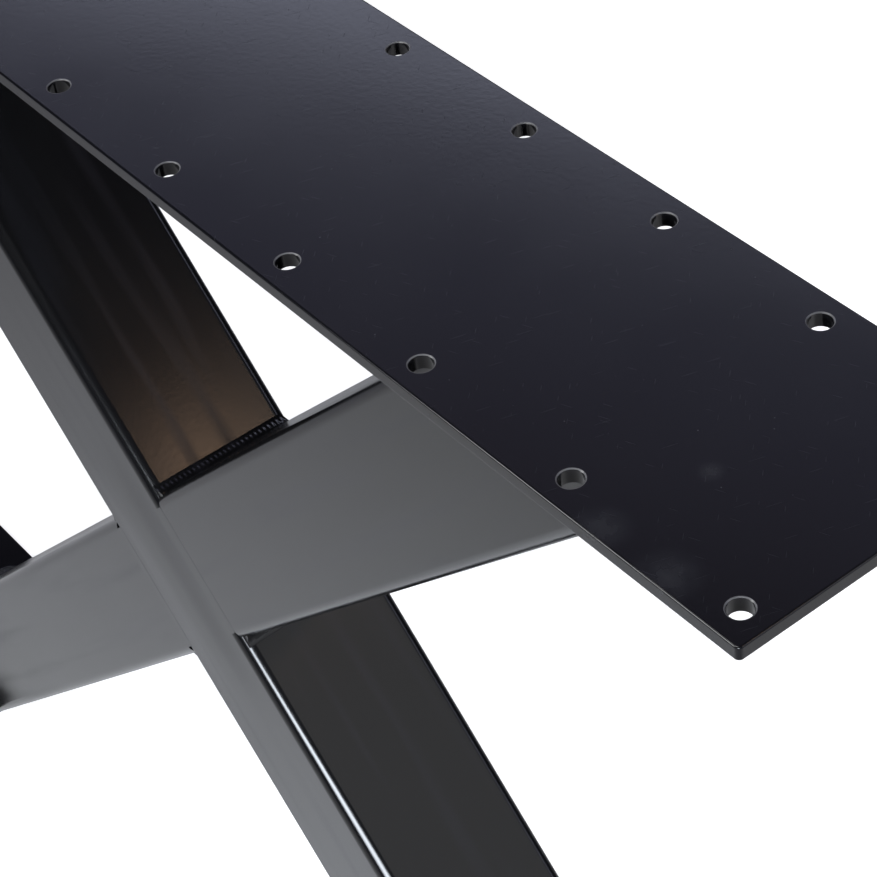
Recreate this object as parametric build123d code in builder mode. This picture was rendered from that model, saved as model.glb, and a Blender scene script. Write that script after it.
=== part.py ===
from build123d import *
from math import cos, radians, sin, tan
import os

# Table leg in the shape of an X, welded from square steel tube. One leg tube runs through, and
# the other is two half tubes that butt against its sides. A drilled plate carries the table top,
# and a flat plate under each foot spreads the load on the floor.
# X runs along the top plate, Y across it and Z up, all in millimetres. The origin is on the floor,
# under the middle of the crossing.

# Overall sizes
total_height = 710
leg_angle = 44
crossing_drop = 320

# Square tube of the legs
tube_size = 80
tube_wall = 3
tube_corner_radius = 6

# Top plate and its two rows of screw holes. The overhang is the plate's width past each side of
# the tube: it leaves the screws clear of the weld.
plate_length = 890
plate_overhang = 27
plate_thickness = 6
plate_corner_radius = 2
plate_edge_radius = 0.8
holes_in_row = 12
hole_diameter = 9
hole_rim = 0.5
rim_cone_angle = 90
hole_margin = 12

# Foot plates. The tube's heel hangs a little way over the plate's inner end, which leaves a narrow
# slit into the tube for water and coating to drain.
foot_plate_length = 170
foot_plate_side_margin = 17.5
foot_plate_thickness = 6
foot_plate_corner_radius = 3
foot_plate_edge_radius = 0.8
heel_overhang = 6

# Weld beads: leg length of the fillet, its hollow, and the thin edge where it fades out
weld_leg = 5
weld_hollow = 0.8
weld_lip = 0.6
weld_end_inset = 2.5
seam_feather = 0.5
seam_end_inset = 5

# Heights, from the floor
plate_underside = total_height - plate_thickness
crossing_height = total_height - crossing_drop
foot_top = foot_plate_thickness

# Both legs lie in the plane Y = 0. A leg's run points up along it, and its upper side is the
# outward normal of the face that looks up.
slope = radians(leg_angle)
crossing = Vector(0, 0, crossing_height)
long_run = Vector(-cos(slope), 0, sin(slope))
long_upper_side = Vector(sin(slope), 0, cos(slope))
half_run = Vector(cos(slope), 0, sin(slope))

half_tube = tube_size / 2
tube_bore = tube_size - 2 * tube_wall
tube_bore_radius = tube_corner_radius - tube_wall
bar_reach = total_height / sin(slope)

# Where the tubes meet the plates: the cut of a slanting tube is longer than the tube is wide
cut_length = tube_size / sin(slope)
top_reach = (crossing_drop - plate_thickness) / tan(slope)
foot_reach = (crossing_height - foot_plate_thickness) / tan(slope)
foot_plate_inner_end = foot_reach - cut_length / 2 + heel_overhang

long_section = Plane(origin=crossing, x_dir=(0, -1, 0), z_dir=long_run)
half_section = Plane(origin=crossing, x_dir=(0, 1, 0), z_dir=half_run)
upper_butt = Plane(origin=crossing + long_upper_side * half_tube, z_dir=long_upper_side)
lower_butt = Plane(origin=crossing - long_upper_side * half_tube, z_dir=long_upper_side)


def full_bar(section):
    """The tube's outer form as a solid bar, both ways past the ends of the leg."""
    with BuildPart() as bar:
        with BuildSketch(section):
            RectangleRounded(tube_size, tube_size, tube_corner_radius)
        extrude(amount=bar_reach, both=True)
    return bar.part


def full_tube(section):
    """The same bar with its bore, from the top plate's underside down to the foot plate."""
    with BuildPart() as tube:
        with BuildSketch(section):
            RectangleRounded(tube_size, tube_size, tube_corner_radius)
            RectangleRounded(tube_bore, tube_bore, tube_bore_radius, mode=Mode.SUBTRACT)
        extrude(amount=bar_reach, both=True)
        split(bisect_by=Plane.XY.offset(plate_underside), keep=Keep.BOTTOM)
        split(bisect_by=Plane.XY.offset(foot_top), keep=Keep.TOP)
    return tube.part


# Top plate, with both rows of through holes. Each hole's rim is lightly broken where the table top
# lies on it, so that no burr holds the top off the plate.
plate_width = tube_size + 2 * plate_overhang
hole_pitch = (plate_length - 2 * hole_margin) / (holes_in_row - 1)
row_spacing = plate_width - 2 * hole_margin
hole_radius = hole_diameter / 2

with BuildPart() as top_plate:
    with BuildSketch(Plane.XY.offset(plate_underside)):
        RectangleRounded(plate_length, plate_width, plate_corner_radius)
    extrude(amount=plate_thickness)
    flat_faces = top_plate.faces().filter_by(Axis.Z)
    fillet(flat_faces.edges(), radius=plate_edge_radius)
    with Locations(Plane.XY.offset(total_height)):
        with GridLocations(hole_pitch, row_spacing, holes_in_row, 2):
            CounterSinkHole(radius=hole_radius, counter_sink_radius=hole_radius + hole_rim,
                            counter_sink_angle=rim_cone_angle)
top_plate.part.label = "top_plate"

# Long leg: one tube from the left end of the top plate down to the right foot
with BuildPart() as long_leg:
    add(full_tube(long_section))
long_leg.part.label = "long_leg"

# Half legs: the same tube, cut off flush with the sides of the long leg
with BuildPart() as upper_half_leg:
    add(full_tube(half_section))
    split(bisect_by=upper_butt, keep=Keep.TOP)
upper_half_leg.part.label = "upper_half_leg"

with BuildPart() as lower_half_leg:
    add(full_tube(half_section))
    split(bisect_by=lower_butt, keep=Keep.BOTTOM)
lower_half_leg.part.label = "lower_half_leg"


foot_plate_width = tube_size + 2 * foot_plate_side_margin


def foot_plate(side):
    """Foot plate under the tube on that side, longer outwards than inwards."""
    with BuildPart() as plate:
        with BuildSketch():
            with Locations((side * (foot_plate_inner_end + foot_plate_length / 2), 0)):
                RectangleRounded(foot_plate_length, foot_plate_width, foot_plate_corner_radius)
        extrude(amount=foot_plate_thickness)
        upper_rim = plate.faces().sort_by(Axis.Z)[-1].edges()
        fillet(upper_rim, radius=foot_plate_edge_radius)
    return plate.part


with BuildPart() as right_foot_plate:
    add(foot_plate(1))
right_foot_plate.part.label = "right_foot_plate"

with BuildPart() as left_foot_plate:
    add(foot_plate(-1))
left_foot_plate.part.label = "left_foot_plate"

# Weld round the butt of the upper half leg: a hollow fillet in each notch, and on the front and
# back a seam that fills the long leg's rounded corner and is ground flush with the faces.
long_bar = full_bar(long_section)
half_bar = full_bar(half_section)
with BuildPart() as upper_half_bar:
    add(half_bar)
    split(bisect_by=upper_butt, keep=Keep.TOP)

frame_plane = Plane(origin=crossing, x_dir=(1, 0, 0), z_dir=(0, -1, 0))
half_leg_away = Vector(cos(slope), sin(slope))
notches = {
    "top": {
        "corner": Vector(0, half_tube / cos(slope)),
        "along_long_leg": Vector(-cos(slope), sin(slope)),
        "off_half_leg": Vector(-sin(slope), cos(slope)),
    },
    "side": {
        "corner": Vector(half_tube / sin(slope), 0),
        "along_long_leg": Vector(cos(slope), -sin(slope)),
        "off_half_leg": Vector(sin(slope), -cos(slope)),
    },
}
off_long_leg = Vector(sin(slope), cos(slope))
butt_centre = -half_tube / tan(2 * slope)
seam_half_length = (half_tube - seam_end_inset) / sin(2 * slope)
seam_width = tube_corner_radius - seam_feather

with BuildPart() as upper_leg_weld:
    for notch in notches.values():
        corner = notch["corner"]
        long_tip = corner + notch["along_long_leg"] * weld_leg
        half_tip = corner + half_leg_away * weld_leg
        chord_middle = (long_tip + half_tip) * 0.5
        hollow_point = chord_middle + (corner - chord_middle).normalized() * weld_hollow
        long_root = long_tip - off_long_leg * tube_corner_radius
        half_root = half_tip - notch["off_half_leg"] * tube_corner_radius
        root = corner - (off_long_leg + notch["off_half_leg"]) * tube_corner_radius
        with BuildSketch(frame_plane):
            with BuildLine():
                ThreePointArc(long_tip, hollow_point, half_tip)
                Polyline(half_tip, half_root, root, long_root, long_tip)
            make_face()
        extrude(amount=half_tube - weld_end_inset, both=True)
    with BuildSketch(long_section.offset(butt_centre)):
        for face_side in (-1, 1):
            with Locations((face_side * (half_tube - seam_width / 2), half_tube - seam_width / 2)):
                Rectangle(seam_width, seam_width)
    extrude(amount=seam_half_length, both=True)
    add(long_bar, mode=Mode.SUBTRACT)
    add(upper_half_bar.part, mode=Mode.SUBTRACT)
upper_leg_weld.part.label = "upper_leg_weld"

# The lower half leg is welded on in the same way, from the opposite side
crossing_axis = Axis(crossing, (0, 1, 0))
with BuildPart() as lower_leg_weld:
    add(upper_leg_weld.part.rotate(crossing_axis, 180))
lower_leg_weld.part.label = "lower_leg_weld"


def collar(centre, height, climb):
    """Fillet weld all round a half leg's slanting end, from a plate's face along the tube.
    The climb is 1 where the bead rises from the plate and -1 where it hangs under it."""
    drift = climb * weld_leg / tan(slope)
    with BuildPart() as bead:
        with BuildSketch(Plane.XY.offset(height)):
            with Locations((centre, 0)):
                RectangleRounded(cut_length + 2 * weld_leg, tube_size + 2 * weld_leg,
                                 tube_corner_radius + weld_leg)
        with BuildSketch(Plane.XY.offset(height + climb * weld_leg)):
            with Locations((centre + drift, 0)):
                RectangleRounded(cut_length + 2 * weld_lip, tube_size + 2 * weld_lip,
                                 tube_corner_radius + weld_lip)
        loft()
        add(half_bar, mode=Mode.SUBTRACT)
    return bead.part


# Welds that hold the tubes under the top plate, one collar round each
with BuildPart() as plate_welds:
    add(collar(top_reach, plate_underside, -1))
    mirror(about=Plane.YZ)
plate_welds.part.label = "plate_welds"

# Welds that hold the tubes on the foot plates, open where the heel hangs over
with BuildPart() as foot_welds:
    add(collar(-foot_reach, foot_top, 1))
    split(bisect_by=Plane.YZ.offset(-foot_plate_inner_end), keep=Keep.BOTTOM)
    mirror(about=Plane.YZ)
foot_welds.part.label = "foot_welds"

os.makedirs("parts", exist_ok=True)
export_step(top_plate.part, "parts/top_plate.step")
export_step(long_leg.part, "parts/long_leg.step")
export_step(upper_half_leg.part, "parts/upper_half_leg.step")
export_step(lower_half_leg.part, "parts/lower_half_leg.step")
export_step(right_foot_plate.part, "parts/right_foot_plate.step")
export_step(left_foot_plate.part, "parts/left_foot_plate.step")
export_step(upper_leg_weld.part, "parts/upper_leg_weld.step")
export_step(lower_leg_weld.part, "parts/lower_leg_weld.step")
export_step(plate_welds.part, "parts/plate_welds.step")
export_step(foot_welds.part, "parts/foot_welds.step")
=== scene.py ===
# %% [markdown]
# # A welded X-shaped table leg
# The leg is two square steel tubes that cross, with a drilled plate on top and a flat plate under
# each foot, all coated satin black. The construction comes in as a fixed frame, in metres, with
# the floor at Z = 0 and the top plate along X. This script gives each piece its coat, lays rippled
# weld beads where the frame has plain fillets, and lights the leg as in a studio.

from math import atan2, cos, degrees, pi, radians, sin, tan, tau

import bmesh
import bpy
from mathutils import Matrix, Vector


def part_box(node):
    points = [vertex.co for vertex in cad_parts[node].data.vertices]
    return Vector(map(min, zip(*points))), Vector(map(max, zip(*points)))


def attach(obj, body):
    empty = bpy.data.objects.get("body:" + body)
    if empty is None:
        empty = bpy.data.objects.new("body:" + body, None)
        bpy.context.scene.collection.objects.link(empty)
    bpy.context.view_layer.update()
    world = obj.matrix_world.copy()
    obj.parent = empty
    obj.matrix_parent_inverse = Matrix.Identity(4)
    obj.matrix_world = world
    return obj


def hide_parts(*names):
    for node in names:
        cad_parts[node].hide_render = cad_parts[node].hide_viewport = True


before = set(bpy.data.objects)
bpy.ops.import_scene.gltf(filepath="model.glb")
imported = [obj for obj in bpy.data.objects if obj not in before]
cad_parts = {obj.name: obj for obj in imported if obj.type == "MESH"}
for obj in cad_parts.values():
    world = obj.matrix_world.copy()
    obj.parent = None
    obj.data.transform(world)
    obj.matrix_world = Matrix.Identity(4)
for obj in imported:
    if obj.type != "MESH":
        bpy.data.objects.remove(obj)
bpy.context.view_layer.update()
scene = bpy.context.scene
print("nodes:", sorted(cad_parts))

# %% [markdown]
# ## Sizes taken from the frame
# Some finishes and the weld beads follow the tubes, so the script needs to know where the tubes
# lie. The boxes of the nodes give most of it: the plate's faces, the tube's width, and how far out
# the tubes meet the plates. The slope of the legs, the tube's rounded corner, and the count and
# margin of the holes are repeated here, because a box can't tell them.

# %% Sizes
leg_slope = radians(44)
tube_corner = 0.006
hole_margin = 0.012
holes_in_row = 12

plate_low, plate_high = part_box("top_plate")
foot_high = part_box("right_foot_plate")[1]
long_low, long_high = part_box("long_leg")
half_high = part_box("upper_half_leg")[1]
bead_low, bead_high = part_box("plate_welds")

tube_size = long_high[1] - long_low[1]
half_tube = tube_size / 2
weld_leg = bead_high[2] - bead_low[2]
cut_length = tube_size / sin(leg_slope)
foot_reach = long_high[0] - cut_length / 2
top_reach = half_high[0] - cut_length / 2
crossing_height = long_low[2] + foot_reach * tan(leg_slope)
hole_pitch = (plate_high[0] - plate_low[0] - 2 * hole_margin) / (holes_in_row - 1)
row_spacing = plate_high[1] - plate_low[1] - 2 * hole_margin
print("tube", round(tube_size, 4), "weld leg", round(weld_leg, 4))
print("crossing at", round(crossing_height, 4), "hole pitch", round(hole_pitch, 4))

# %% [markdown]
# ## Camera
# The photo looks down on the near end of the top plate from close by, so the view is steep and
# the crossing sits in the lower left. A long lens keeps the edges nearly parallel. The camera
# stands at a measured place, looks at a point on the front of the tubes, and is rolled a little,
# as the slant of the edges in the photo asks.

# %% Camera
camera_place = Vector((0.8308, -0.4080, 1.2693))
camera_aim = Vector((0.2564, -0.0400, 0.6532))
camera_roll = radians(-7.97)
camera_lens = 104.66
sensor_width = 36.0
nearest_seen = 0.01

camera_data = bpy.data.cameras.new("camera")
camera_data.sensor_width = sensor_width
camera_data.lens = camera_lens
camera_data.clip_start = nearest_seen
camera = bpy.data.objects.new("camera", camera_data)
scene.collection.objects.link(camera)
line_of_sight = camera_aim - camera_place
upright = line_of_sight.to_track_quat("-Z", "Y").to_matrix().to_4x4()
camera.matrix_world = (
    Matrix.Translation(camera_place) @ upright @ Matrix.Rotation(camera_roll, 4, "Z"))
scene.camera = camera
off_plumb = degrees(line_of_sight.angle(Vector((0, 0, -1))))
print("the camera looks", round(off_plumb, 1), "degrees off plumb")

# %% [markdown]
# ## Colour handling
# The Standard view shows a colour as it is written, with no film curve over it, so the coat's
# black and the white ground can be compared with the photo number by number.

# %% Colour handling
scene.view_settings.view_transform = "Standard"
print("view:", scene.view_settings.view_transform)

# %% [markdown]
# ## Helpers for shader nodes
# Every material below is a small network of nodes. One helper adds a node and fills its sockets,
# by name or by number, with a value or with another node's output. The others wrap the three
# steps that come back most: one sum, a soft step from 0 to 1, and a shader that only the camera
# sees. That keeps each network short enough to read as a list of what it does.

# %% Helpers for shader nodes


def new_material(name):
    """An empty node material and its node tree."""
    material = bpy.data.materials.new(name)
    material.use_nodes = True
    material.node_tree.nodes.clear()
    return material, material.node_tree


def add_node(tree, kind, inputs=None, **options):
    """Add a shader node, set its options, and fill or connect its sockets."""
    node = tree.nodes.new(kind)
    for option, value in options.items():
        setattr(node, option, value)
    for socket, value in (inputs or {}).items():
        if isinstance(value, bpy.types.NodeSocket):
            tree.links.new(value, node.inputs[socket])
        else:
            node.inputs[socket].default_value = value
    return node


def maths(tree, operation, *values):
    """The result of one sum on numbers or on other nodes' outputs."""
    return add_node(tree, "ShaderNodeMath", dict(enumerate(values)), operation=operation).outputs[0]


def soft_step(tree, value, none_at, full_at, **options):
    """0 where the value is none_at, 1 where it is full_at, and level past both."""
    return add_node(tree, "ShaderNodeMapRange",
                    {"Value": value, "From Min": none_at, "From Max": full_at}, **options).outputs[0]


def camera_only(tree, shader, camera_shader):
    """The first shader for all light, and the second for what the camera sees."""
    ray = add_node(tree, "ShaderNodeLightPath")
    return add_node(tree, "ShaderNodeMixShader",
                    {0: ray.outputs["Is Camera Ray"], 1: shader.outputs[0], 2: camera_shader.outputs[0]})


# %% [markdown]
# ## Floor
# The floor is plain white and runs out on all sides. A soft glow that only the camera sees keeps
# it as white as the photo's ground, and adds no light to the leg. The shadow stays, because the
# glow is added on top of the lit floor.

# %% Floor
floor_half_width = 6.0
floor_white = 0.85
floor_glow = 0.75

floor_mesh = bmesh.new()
bmesh.ops.create_grid(floor_mesh, x_segments=1, y_segments=1, size=floor_half_width)
floor_data = bpy.data.meshes.new("floor")
floor_mesh.to_mesh(floor_data)
floor_mesh.free()
floor = bpy.data.objects.new("floor", floor_data)
scene.collection.objects.link(floor)

floor_material, tree = new_material("white_floor")
paper = add_node(tree, "ShaderNodeBsdfDiffuse", {"Color": (floor_white, floor_white, floor_white, 1.0)})
glow = add_node(tree, "ShaderNodeEmission", {"Strength": floor_glow})
lifted = add_node(tree, "ShaderNodeAddShader", {0: paper.outputs[0], 1: glow.outputs[0]})
ground = camera_only(tree, paper, lifted)
add_node(tree, "ShaderNodeOutputMaterial", {"Surface": ground.outputs[0]})
floor.data.materials.append(floor_material)
print("floor", 2 * floor_half_width, "m wide")

# %% [markdown]
# ## The room
# A black coat shows almost nothing but reflections, so what matters is where the room is bright
# and where it is dark. Low over the horizon behind the leg there is a long bluish band of window
# light, and above it the room falls off to black. The band is a narrow slice of the sky, measured
# by how far a direction rises over a tilted plane. It is what makes the far half of the top plate
# glow while its near end stays black. The camera itself sees plain white.

# %% The room
band_azimuth = radians(110)
band_rise = 0.87
band_slope = Vector((-band_rise * cos(band_azimuth), -band_rise * sin(band_azimuth), 1.0))
band_from, band_to = -0.11, 0.18
window_strength = 4.2
room_tones = (
    (0.00, (0.004, 0.004, 0.005)),
    (0.22, (0.730, 0.770, 0.970)),
    (0.34, (0.055, 0.055, 0.076)),
    (0.60, (0.050, 0.050, 0.080)),
    (0.85, (0.045, 0.040, 0.054)),
    (1.00, (0.002, 0.002, 0.003)),
)

world = bpy.data.worlds.new("studio")
scene.world = world
world.use_nodes = True
tree = world.node_tree
tree.nodes.clear()
direction = add_node(tree, "ShaderNodeTexCoord").outputs["Generated"]
rise = add_node(tree, "ShaderNodeVectorMath", {0: direction, 1: band_slope.normalized()},
                operation="DOT_PRODUCT")
along = soft_step(tree, rise.outputs["Value"], band_from, band_to)
tones = add_node(tree, "ShaderNodeValToRGB", {"Fac": along})
for position, tone in room_tones[1:-1]:
    tones.color_ramp.elements.new(position)
for stop, (position, tone) in zip(tones.color_ramp.elements, room_tones):
    stop.color = (*tone, 1.0)
room = add_node(tree, "ShaderNodeBackground", {"Color": tones.outputs[0], "Strength": window_strength})
white = add_node(tree, "ShaderNodeBackground", {"Color": (1.0, 1.0, 1.0, 1.0)})
shown = camera_only(tree, room, white)
add_node(tree, "ShaderNodeOutputWorld", {"Surface": shown.outputs[0]})
print("the room has", len(tones.color_ramp.elements), "tones")

# %% [markdown]
# ## Lamps
# Six soft boxes stand round the leg. The high one lights the floor, which the front faces then
# mirror as an even grey. The left one draws the thin bright line on the plate's near edge. The edge
# lamp has a grid that keeps its light off the floor, and draws the long bright strip on the rounded
# edge of the long leg. The right one is what the dark side face mirrors, and a small warm one gives
# the brown glow just over the upper weld. The last hangs low and faces down, to light the patch of
# floor that the plate's end face mirrors.

# %% Lamps
cool_light = (0.86, 0.92, 1.0)
warm_light = (1.0, 0.62, 0.38)
grid_spread = radians(60)


def soft_lamp(name, place, aim, width, height, power, colour=(1.0, 1.0, 1.0)):
    """A rectangular soft lamp that faces the aim point."""
    data = bpy.data.lights.new(name, "AREA")
    data.shape = "RECTANGLE"
    data.size = width
    data.size_y = height
    data.energy = power
    data.color = colour
    lamp = bpy.data.objects.new(name, data)
    scene.collection.objects.link(lamp)
    place = Vector(place)
    turn = (Vector(aim) - place).to_track_quat("-Z", "Y").to_matrix().to_4x4()
    lamp.matrix_world = Matrix.Translation(place) @ turn
    print(name, "gives", power, "W")
    return lamp


soft_lamp("high_lamp", place=(0.1, -0.6, 1.9), aim=(0.0, -0.3, 0.0),
          width=0.8, height=0.8, power=9.6)
soft_lamp("left_lamp", place=(-0.45, -1.25, 1.25), aim=(0.4, -0.07, 0.71),
          width=0.5, height=0.7, power=9.0)
edge_lamp = soft_lamp("edge_lamp", place=(0.89, -0.78, 0.75), aim=(0.2, -0.04, 0.25),
                      width=0.9, height=0.5, power=4.2, colour=cool_light)
edge_lamp.data.spread = grid_spread
soft_lamp("right_lamp", place=(1.72, 0.78, 1.6), aim=(0.05, 0.0, 0.4),
          width=1.0, height=1.0, power=2.1)
soft_lamp("warm_lamp", place=(1.41, 0.69, 1.95), aim=(0.0, 0.0, 0.455),
          width=0.16, height=0.10, power=0.36, colour=warm_light)
soft_lamp("end_lamp", place=(1.2, 0.5, 0.5), aim=(1.15, 0.48, 0.0),
          width=0.5, height=0.5, power=2.0)

# %% [markdown]
# ## Powder coat
# The steel is powder coated. The powder melts into a skin that is black right through, and sets
# with a fine orange peel about two millimetres from crest to crest. Here it is a Principled shader
# with almost no colour of its own: its Roughness is a satin sheen that drifts in soft clouds, and a
# fine noise in its Bump is the orange peel. The texture is read in object coordinates, in metres,
# so it has the same size on every piece.

# %% Powder coat
peel_wave = 0.0022
cloud_wave = 0.07
noise_low, noise_high = 0.3, 0.7


def powder_coat(name, colour, roughness, peel_height, cloudiness):
    """Satin powder coat: orange peel in the skin, and soft clouds in the sheen."""
    material, tree = new_material(name)
    place = add_node(tree, "ShaderNodeTexCoord").outputs["Object"]
    clouds = add_node(tree, "ShaderNodeTexNoise",
                      {"Vector": place, "Scale": 1 / cloud_wave, "Detail": 3.0})
    sheen = add_node(tree, "ShaderNodeMapRange",
                     {"Value": clouds.outputs["Fac"], "From Min": noise_low, "From Max": noise_high,
                      "To Min": roughness * (1 - cloudiness), "To Max": roughness * (1 + cloudiness)})
    peel = add_node(tree, "ShaderNodeTexNoise",
                    {"Vector": place, "Scale": 1 / peel_wave, "Detail": 1.0})
    skin = add_node(tree, "ShaderNodeBump",
                    {"Height": peel.outputs["Fac"], "Distance": peel_height, "Strength": 1.0})
    shader = add_node(tree, "ShaderNodeBsdfPrincipled",
                      {"Base Color": (*colour, 1.0), "Roughness": sheen.outputs[0],
                       "Normal": skin.outputs[0]})
    add_node(tree, "ShaderNodeOutputMaterial", {"Surface": shader.outputs[0]})
    return {"material": material, "tree": tree, "place": place, "shader": shader,
            "skin": skin.outputs[0], "colour": (*colour, 1.0), "sheen": sheen.outputs[0]}


# %% [markdown]
# ## Marks in a coat
# Every mark on the leg is handled alike: a pattern says where it lies, from 0 to 1 over the
# surface, and there the coat's colour and sheen give way to the mark's own. Each new mark is laid
# over the ones before. A Mix node keeps its number sockets at 2 and 3 and its colours at 6 and 7.

# %% Marks in a coat


def lay_mark(coat, mark, mark_colour, mark_roughness):
    """Lay a mark over a coat, where the pattern says."""
    tree, shader = coat["tree"], coat["shader"]
    coat["colour"] = add_node(tree, "ShaderNodeMix", {0: mark, 6: coat["colour"], 7: (*mark_colour, 1.0)},
                              data_type="RGBA").outputs[2]
    tree.links.new(coat["colour"], shader.inputs["Base Color"])
    coat["sheen"] = add_node(tree, "ShaderNodeMix",
                             {0: mark, 2: coat["sheen"], 3: mark_roughness}).outputs[0]
    tree.links.new(coat["sheen"], shader.inputs["Roughness"])


# %% [markdown]
# ## Specks and scratches
# The plate lies flat, so it gathers what the tubes shed: specks of dust, small nibs in the coat,
# and fine short scratches from stacking. Painting each one by hand would take an image, so they are
# left to a cell texture instead. Its centres are the specks, and the same texture stretched until
# each centre is a stroke makes the scratches, in one heading at a time.

# %% Specks and scratches
speck_core = 0.5
speck_roughness = 0.6
stroke_reach = 0.12
stroke_core = 0.3
scratch_roughness = 0.32


def add_specks(coat, spacing, radius, speck_colour):
    """Tiny pale specks, about one to a cell of the given spacing."""
    cells = add_node(coat["tree"], "ShaderNodeTexVoronoi",
                     {"Vector": coat["place"], "Scale": 1 / spacing})
    speck = soft_step(coat["tree"], cells.outputs["Distance"],
                      radius / spacing, speck_core * radius / spacing)
    lay_mark(coat, speck, speck_colour, speck_roughness)


def add_scratches(coat, heading, length, width, scratch_colour):
    """Short fine strokes in one heading over the plate."""
    cell_size = (length / (2 * stroke_reach), width / (2 * stroke_reach), 1.0)
    laid = add_node(coat["tree"], "ShaderNodeMapping",
                    {"Vector": coat["place"], "Rotation": (0.0, 0.0, heading), "Scale": cell_size},
                    vector_type="TEXTURE")
    cells = add_node(coat["tree"], "ShaderNodeTexVoronoi", {"Vector": laid.outputs[0], "Scale": 1.0})
    stroke = soft_step(coat["tree"], cells.outputs["Distance"],
                       stroke_reach, stroke_core * stroke_reach)
    lay_mark(coat, stroke, scratch_colour, scratch_roughness)


# %% [markdown]
# ## Pale patches
# Near its front edge, the plate has a few pale, dull patches. Each is a soft round patch
# that fades from its middle, multiplied by noise so that its outline breaks up.

# %% Pale patches
pale_patch_grains = 3
pale_patch_roughness = 0.5


def add_pale_patch(coat, spot, radius, pale_patch_colour):
    """A dull patch round one spot, broken up by noise."""
    away = add_node(coat["tree"], "ShaderNodeVectorMath", {0: coat["place"], 1: Vector(spot)},
                    operation="DISTANCE")
    patch = soft_step(coat["tree"], away.outputs["Value"], radius, 0.0)
    grain = add_node(coat["tree"], "ShaderNodeTexNoise",
                     {"Vector": coat["place"], "Scale": pale_patch_grains / radius, "Detail": 4.0})
    broken = maths(coat["tree"], "MULTIPLY", patch, grain.outputs["Fac"])
    lay_mark(coat, broken, pale_patch_colour, pale_patch_roughness)


# %% [markdown]
# ## Painted highlights on the rims of the holes
# Each hole gets a fine pale ring, a painted highlight where the edge of the hole would catch the
# light. The holes are evenly spaced, so one pattern serves them all: the distance along the plate
# starts again at each step of the pitch, both rows are folded onto one, and the ring lies at one radius
# from the centre.

# %% Painted highlights on the rims of the holes
rim_highlight_roughness = 0.3


def add_painted_rim_highlights(coat, rim_radius, rim_width, rim_highlight_colour):
    """Painted pale highlights on the rims of two rows of holes, which start half a pitch each side of the
    middle.
    """
    tree = coat["tree"]
    place = add_node(tree, "ShaderNodeSeparateXYZ", {0: coat["place"]})
    step = maths(tree, "FRACT", maths(tree, "DIVIDE", place.outputs["X"], hole_pitch))
    off_x = maths(tree, "MULTIPLY_ADD", step, hole_pitch, -hole_pitch / 2)
    off_y = maths(tree, "SUBTRACT", maths(tree, "ABSOLUTE", place.outputs["Y"]), row_spacing / 2)
    offset = add_node(tree, "ShaderNodeCombineXYZ", {0: off_x, 1: off_y})
    radius = add_node(tree, "ShaderNodeVectorMath", {0: offset.outputs[0]}, operation="LENGTH")
    off_rim = maths(tree, "ABSOLUTE", maths(tree, "SUBTRACT", radius.outputs["Value"], rim_radius))
    rim = soft_step(tree, off_rim, rim_width / 2, rim_width / 3)
    lay_mark(coat, rim, rim_highlight_colour, rim_highlight_roughness)


# %% [markdown]
# ## Coats of the plates
# Both kinds of plate start from the same black. The top plate has scratches in three headings,
# pale patches near its front edge, and painted highlights on the rims of its holes. The foot plates
# see less handling, so they have specks and scratches in one heading.

# %% Coats of the plates
plate_black = (0.005, 0.005, 0.0065)
plate_roughness = 0.155
plate_peel = 0.000010
speck_spacing, speck_radius, speck_colour = 0.009, 0.0003, (0.05, 0.05, 0.055)
scratch_width = 0.00025
top_scratches = ((radians(22), 0.009), (radians(-48), 0.006), (radians(71), 0.012))
foot_scratches = ((radians(-35), 0.010),)
# The pale rim colour is a painted highlight on the hole rims, not a colour of the coat.
rim_radius, rim_width, rim_highlight_colour = 0.00485, 0.00060, (0.13, 0.13, 0.135)
pale_patch_colour = (0.017, 0.017, 0.020)
plate_top = plate_high[2]
near_edge = plate_low[1]
pale_patch_spots = (
    ((0.378, near_edge + 0.004, plate_top), 0.011),
    ((0.408, near_edge + 0.005, plate_top), 0.013),
    ((0.383, near_edge + 0.046, plate_top), 0.005),
)


def handled_coat(name, scratches, scratch_colour):
    """The coat of a plate that has been handled, with its specks and scratches."""
    coat = powder_coat(name, plate_black, plate_roughness, plate_peel, cloudiness=0.10)
    add_specks(coat, speck_spacing, speck_radius, speck_colour)
    for heading, length in scratches:
        add_scratches(coat, heading, length, scratch_width, scratch_colour)
    return coat


plate_coat = handled_coat("plate_coat", top_scratches, (0.0075, 0.0075, 0.009))
for spot, radius in pale_patch_spots:
    add_pale_patch(plate_coat, spot, radius, pale_patch_colour)
# Pale rings on the hole rims: a painted highlight.
add_painted_rim_highlights(plate_coat, rim_radius, rim_width, rim_highlight_colour)
foot_coat = handled_coat("foot_coat", foot_scratches, (0.0085, 0.0085, 0.010))
print("marks on the plate:", len(pale_patch_spots), "smears,", len(top_scratches), "headings of scratches")

# %% [markdown]
# ## Streaks on the tubes
# Square tube is rolled lengthwise, and faint hazy streaks run along it under the coat. Each leg
# slopes its own way, so each gets its own copy of the coat, with the streaks turned to its slope. A
# noise that is stretched along the leg makes them.

# %% Streaks on the tubes
tube_black = (0.0045, 0.0045, 0.005)
tube_roughness = 0.17
streak_length, streak_width = 0.16, 0.011
streak_colour = (0.0085, 0.0085, 0.011)
streak_roughness = 0.26
streak_from, streak_to = 0.5, 0.8


def along_leg(coat, slope, origin=(0.0, 0.0, 0.0), scale=(1.0, 1.0, 1.0)):
    """Object coordinates turned so that X runs down along a leg and Z across it."""
    return add_node(coat["tree"], "ShaderNodeMapping",
                    {"Vector": coat["place"], "Location": origin, "Rotation": (0.0, slope, 0.0),
                     "Scale": scale}, vector_type="TEXTURE").outputs[0]


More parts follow.
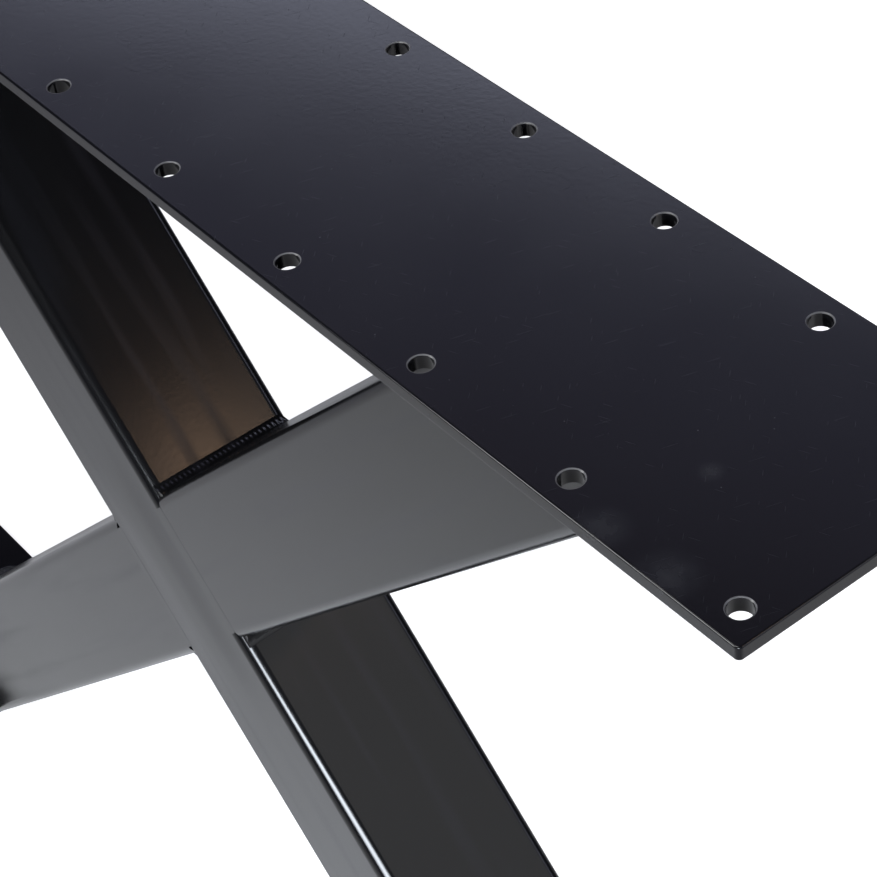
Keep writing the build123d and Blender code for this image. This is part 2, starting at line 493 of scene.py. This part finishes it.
def tube_coat(name, slope):
    """The tubes' coat, with faint streaks along the leg."""
    coat = powder_coat(name, tube_black, tube_roughness, peel_height=0.000012, cloudiness=0.08)
    lengthwise = along_leg(coat, slope, scale=(streak_length, streak_width, streak_width))
    haze = add_node(coat["tree"], "ShaderNodeTexNoise",
                    {"Vector": lengthwise, "Scale": 1.0, "Detail": 2.0})
    streak = soft_step(coat["tree"], haze.outputs["Fac"], streak_from, streak_to)
    lay_mark(coat, streak, streak_colour, streak_roughness)
    return coat


long_coat = tube_coat("long_leg_coat", leg_slope)
half_coat = tube_coat("half_leg_coat", -leg_slope)
print("streaks", streak_length, "m long on", long_coat["material"].name, "and", half_coat["material"].name)

# %% [markdown]
# ## Swell at the crossing
# On the front of the crossing, what the coat mirrors bends softly across the long leg, as it would
# if the heat of the welds had drawn the flat face into a very slight swell. The swell is too
# shallow to be worth cutting in the mesh, so it is a second bump over the orange peel, only there.

# %% Swell at the crossing
swell_height = 0.0007
swell_middle = -0.004
swell_half_width = 0.038
swell_reach = 0.09
swell_core = 0.3


def add_swell(coat, slope):
    """A slight swell across the leg, which fades out on both sides of the crossing."""
    tree = coat["tree"]
    at_crossing = along_leg(coat, slope, origin=(0.0, 0.0, crossing_height))
    parts = add_node(tree, "ShaderNodeSeparateXYZ", {0: at_crossing})
    off_middle = maths(tree, "ABSOLUTE", maths(tree, "SUBTRACT", parts.outputs["Z"], swell_middle))
    crest = soft_step(tree, off_middle, swell_half_width, 0.0, interpolation_type="SMOOTHERSTEP")
    off_crossing = maths(tree, "ABSOLUTE", parts.outputs["X"])
    fade = soft_step(tree, off_crossing, swell_reach, swell_core * swell_reach,
                     interpolation_type="SMOOTHSTEP")
    swollen = add_node(tree, "ShaderNodeBump",
                       {"Height": maths(tree, "MULTIPLY", crest, fade), "Distance": swell_height,
                        "Strength": 1.0, "Normal": coat["skin"]})
    tree.links.new(swollen.outputs[0], coat["shader"].inputs["Normal"])


add_swell(long_coat, leg_slope)
print("swell", swell_height, "m high over", 2 * swell_half_width, "m")

# %% [markdown]
# ## Weld beads
# A welder lays each bead in small steps, and every step freezes as a ripple across the bead. The
# frame has each weld as a plain fillet. Here a copy of the fillet is joined up, cut into fine slices
# with the bisect operator, and its open face is then lifted in ripples. The toes of the bead stay
# where they are, so it still meets the tube and the plate exactly. Cutting the real fillet keeps
# every slanting corner right, which a bead swept along a path would not.

# %% Ripples and slices
ripple_pitch = 0.0026
ripple_height = 0.0004
bead_crown = 0.0005
slice_step = ripple_pitch / 4
sliver = 0.00004
same_place = 0.00001


def ripple(way):
    """Height of the ripples at a place along the bead."""
    return ripple_height * abs(sin(pi * way / ripple_pitch))


def between_toes(share):
    """0 at each toe of the bead and 1 halfway between them."""
    return 4 * share * (1 - share)


def joined_copy(node):
    """The node's shape with its loose triangles joined."""
    bm = bmesh.new()
    bm.from_mesh(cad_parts[node].data)
    bmesh.ops.remove_doubles(bm, verts=bm.verts, dist=same_place)
    return bm


def even_places(start, end, step):
    """Places from the start to the end, a step apart."""
    return [start + k * step for k in range(int((end - start) / step) + 1)]


def slice_up(bm, normal, places, chosen):
    """Cut the chosen faces at each place along one direction, from the lowest place up."""

    def lowest(face):
        return min(normal.dot(vert.co) for vert in face.verts)

    waiting = sorted((face for face in bm.faces if chosen(face.calc_center_median())),
                     key=lowest, reverse=True)
    reached = []
    for place in sorted(places):
        while waiting and lowest(waiting[-1]) < place:
            reached.append(waiting.pop())
        edges = {edge for face in reached for edge in face.edges}
        verts = {vert for face in reached for vert in face.verts}
        cut = bmesh.ops.bisect_plane(bm, geom=[*verts, *edges, *reached], dist=sliver,
                                     plane_co=normal * place, plane_no=normal)
        reached = [part for part in cut["geom"] if isinstance(part, bmesh.types.BMFace)
                   and normal.dot(part.calc_center_median()) > place]


# %% [markdown]
# Each finished bead stands for its node, so that the plain fillet goes and the bead takes its
# place in the part. Faces are shaded smooth, and only real corners stay sharp.

# %% Finishing a bead
sharp_angle = radians(40)


def finish_bead(bm, node, coat):
    """Make the rippled copy a piece that stands for its node."""
    bmesh.ops.recalc_face_normals(bm, faces=bm.faces)
    for face in bm.faces:
        face.smooth = True
    for edge in bm.edges:
        edge.smooth = edge.calc_face_angle(0.0) < sharp_angle
    open_edges = sum(not edge.is_manifold for edge in bm.edges)
    mesh = bpy.data.meshes.new(node + "_beads")
    bm.to_mesh(mesh)
    bm.free()
    piece = bpy.data.objects.new(node + "_beads", mesh)
    scene.collection.objects.link(piece)
    piece.data.materials.append(coat["material"])
    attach(piece, "root")
    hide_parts(node)
    print(piece.name, "has", len(mesh.polygons), "faces and", open_edges, "open edges")


# %% [markdown]
# ## Collars
# The collars run all round a slanting tube. How far a point is round the collar is counted along
# the tube's rounded outline, and how far up the fillet it is tells how much it may lift. They are
# cut in rows up the fillet, and in slices across the bead on all four sides.

# %% Collars under the top plate and on the foot plates
bead_rows = 4
on_surface = 0.0002
straight_x = cut_length / 2 - tube_corner
straight_y = half_tube - tube_corner
collar_spread = cut_length / 2 + 3 * weld_leg
weld_coat = powder_coat("weld_coat", tube_black, roughness=0.24, peel_height=0.000020, cloudiness=0.15)


def slice_collars(bm, face_height, climb, reach):
    """Cut both collars of a node in rows and slices."""
    rows = [face_height + climb * weld_leg * k / bead_rows for k in range(1, bead_rows)]
    slice_up(bm, Vector((0, 0, 1)), rows, lambda centre: True)
    across = even_places(-half_tube - weld_leg, half_tube + weld_leg, slice_step)
    for side in (-1, 1):
        middle = side * reach
        lengthwise = even_places(middle - collar_spread, middle + collar_spread, slice_step)
        slice_up(bm, Vector((1, 0, 0)), lengthwise,
                 lambda centre: abs(centre.y) > straight_y and centre.x * side > 0)
        slice_up(bm, Vector((0, 1, 0)), across,
                 lambda centre: abs(centre.x - middle) > straight_x - weld_leg and centre.x * side > 0)


def ripple_collars(node, face_height, climb, reach):
    """Ripple the two collars of a node, which stand mirrored at plus and minus the reach."""
    bm = joined_copy(node)
    slice_collars(bm, face_height, climb, reach)
    bmesh.ops.recalc_face_normals(bm, faces=bm.faces)
    bm.normal_update()
    lifts = []
    for vert in bm.verts:
        side = 1 if vert.co.x > 0 else -1
        rise = abs(vert.co.z - face_height)
        x = vert.co.x - side * (reach - rise / tan(leg_slope))
        y = vert.co.y
        held_x = min(max(x, -straight_x), straight_x)
        held_y = min(max(y, -straight_y), straight_y)
        off_tube = Vector((x - held_x, y - held_y)).length - tube_corner
        if off_tube > on_surface and rise > on_surface:
            turn = atan2(y - held_y, x - held_x) % tau
            way = held_x + held_y + (tube_corner + weld_leg / 2) * turn
            share = min(rise / weld_leg, 1.0)
            lifts.append((vert, vert.normal * between_toes(share) * (bead_crown + ripple(way))))
    for vert, lift in lifts:
        vert.co += lift
    finish_bead(bm, node, weld_coat)


ripple_collars("plate_welds", plate_low[2], -1, top_reach)
ripple_collars("foot_welds", foot_high[2], 1, foot_reach)

# %% [markdown]
# ## Welds at the crossing
# The two welds at the crossing are straight fillets across the tubes, in the notches. Only their
# hollow faces ripple. The flush seams on the front and back are part of the same piece. They were
# ground and coated with the tube, so they stay smooth and run a hair's breadth over the start of
# its rounded edge, as filler does. The whole piece takes the long leg's coat.

# %% Welds at the crossing
seam_lap = 0.0008
seam_proud = 0.00003
crossing = Vector((0, 0, crossing_height))


def ripple_notches(node, side):
    """Ripple the notch fillets of a weld at the crossing, on one side of the long leg."""
    bm = joined_copy(node)
    slice_up(bm, Vector((0, 1, 0)), even_places(-half_tube, half_tube, slice_step), lambda centre: True)
    off_long = Vector((sin(leg_slope), 0, cos(leg_slope))) * side
    off_half = Vector((-sin(leg_slope), 0, cos(leg_slope)))
    for vert in bm.verts:
        place = vert.co - crossing
        from_long = place.dot(off_long) - half_tube
        from_half = abs(place.dot(off_half)) - half_tube
        if min(from_long, from_half) > on_surface:
            share = from_long / (from_long + from_half)
            outward = off_long + off_half * (1 if place.dot(off_half) > 0 else -1)
            vert.co += outward.normalized() * between_toes(share) * ripple(place.y)
        elif abs(place.y) > half_tube - on_surface:
            vert.co.y += seam_proud if place.y > 0 else -seam_proud
            if from_long < -tube_corner / 2:
                vert.co -= off_long * seam_lap
    finish_bead(bm, node, long_coat)


ripple_notches("upper_leg_weld", 1)
ripple_notches("lower_leg_weld", -1)

# %% [markdown]
# ## Coat the construction
# The tubes and plates have the right shape already, so they stay as they are and only take their
# coat, through their material slots.

# %% Coat the construction
node_coats = {
    "top_plate": plate_coat,
    "long_leg": long_coat,
    "upper_half_leg": half_coat,
    "lower_half_leg": half_coat,
    "right_foot_plate": foot_coat,
    "left_foot_plate": foot_coat,
}
for node, coat in node_coats.items():
    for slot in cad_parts[node].material_slots:
        slot.material = coat["material"]
    print(node, "takes", coat["material"].name)
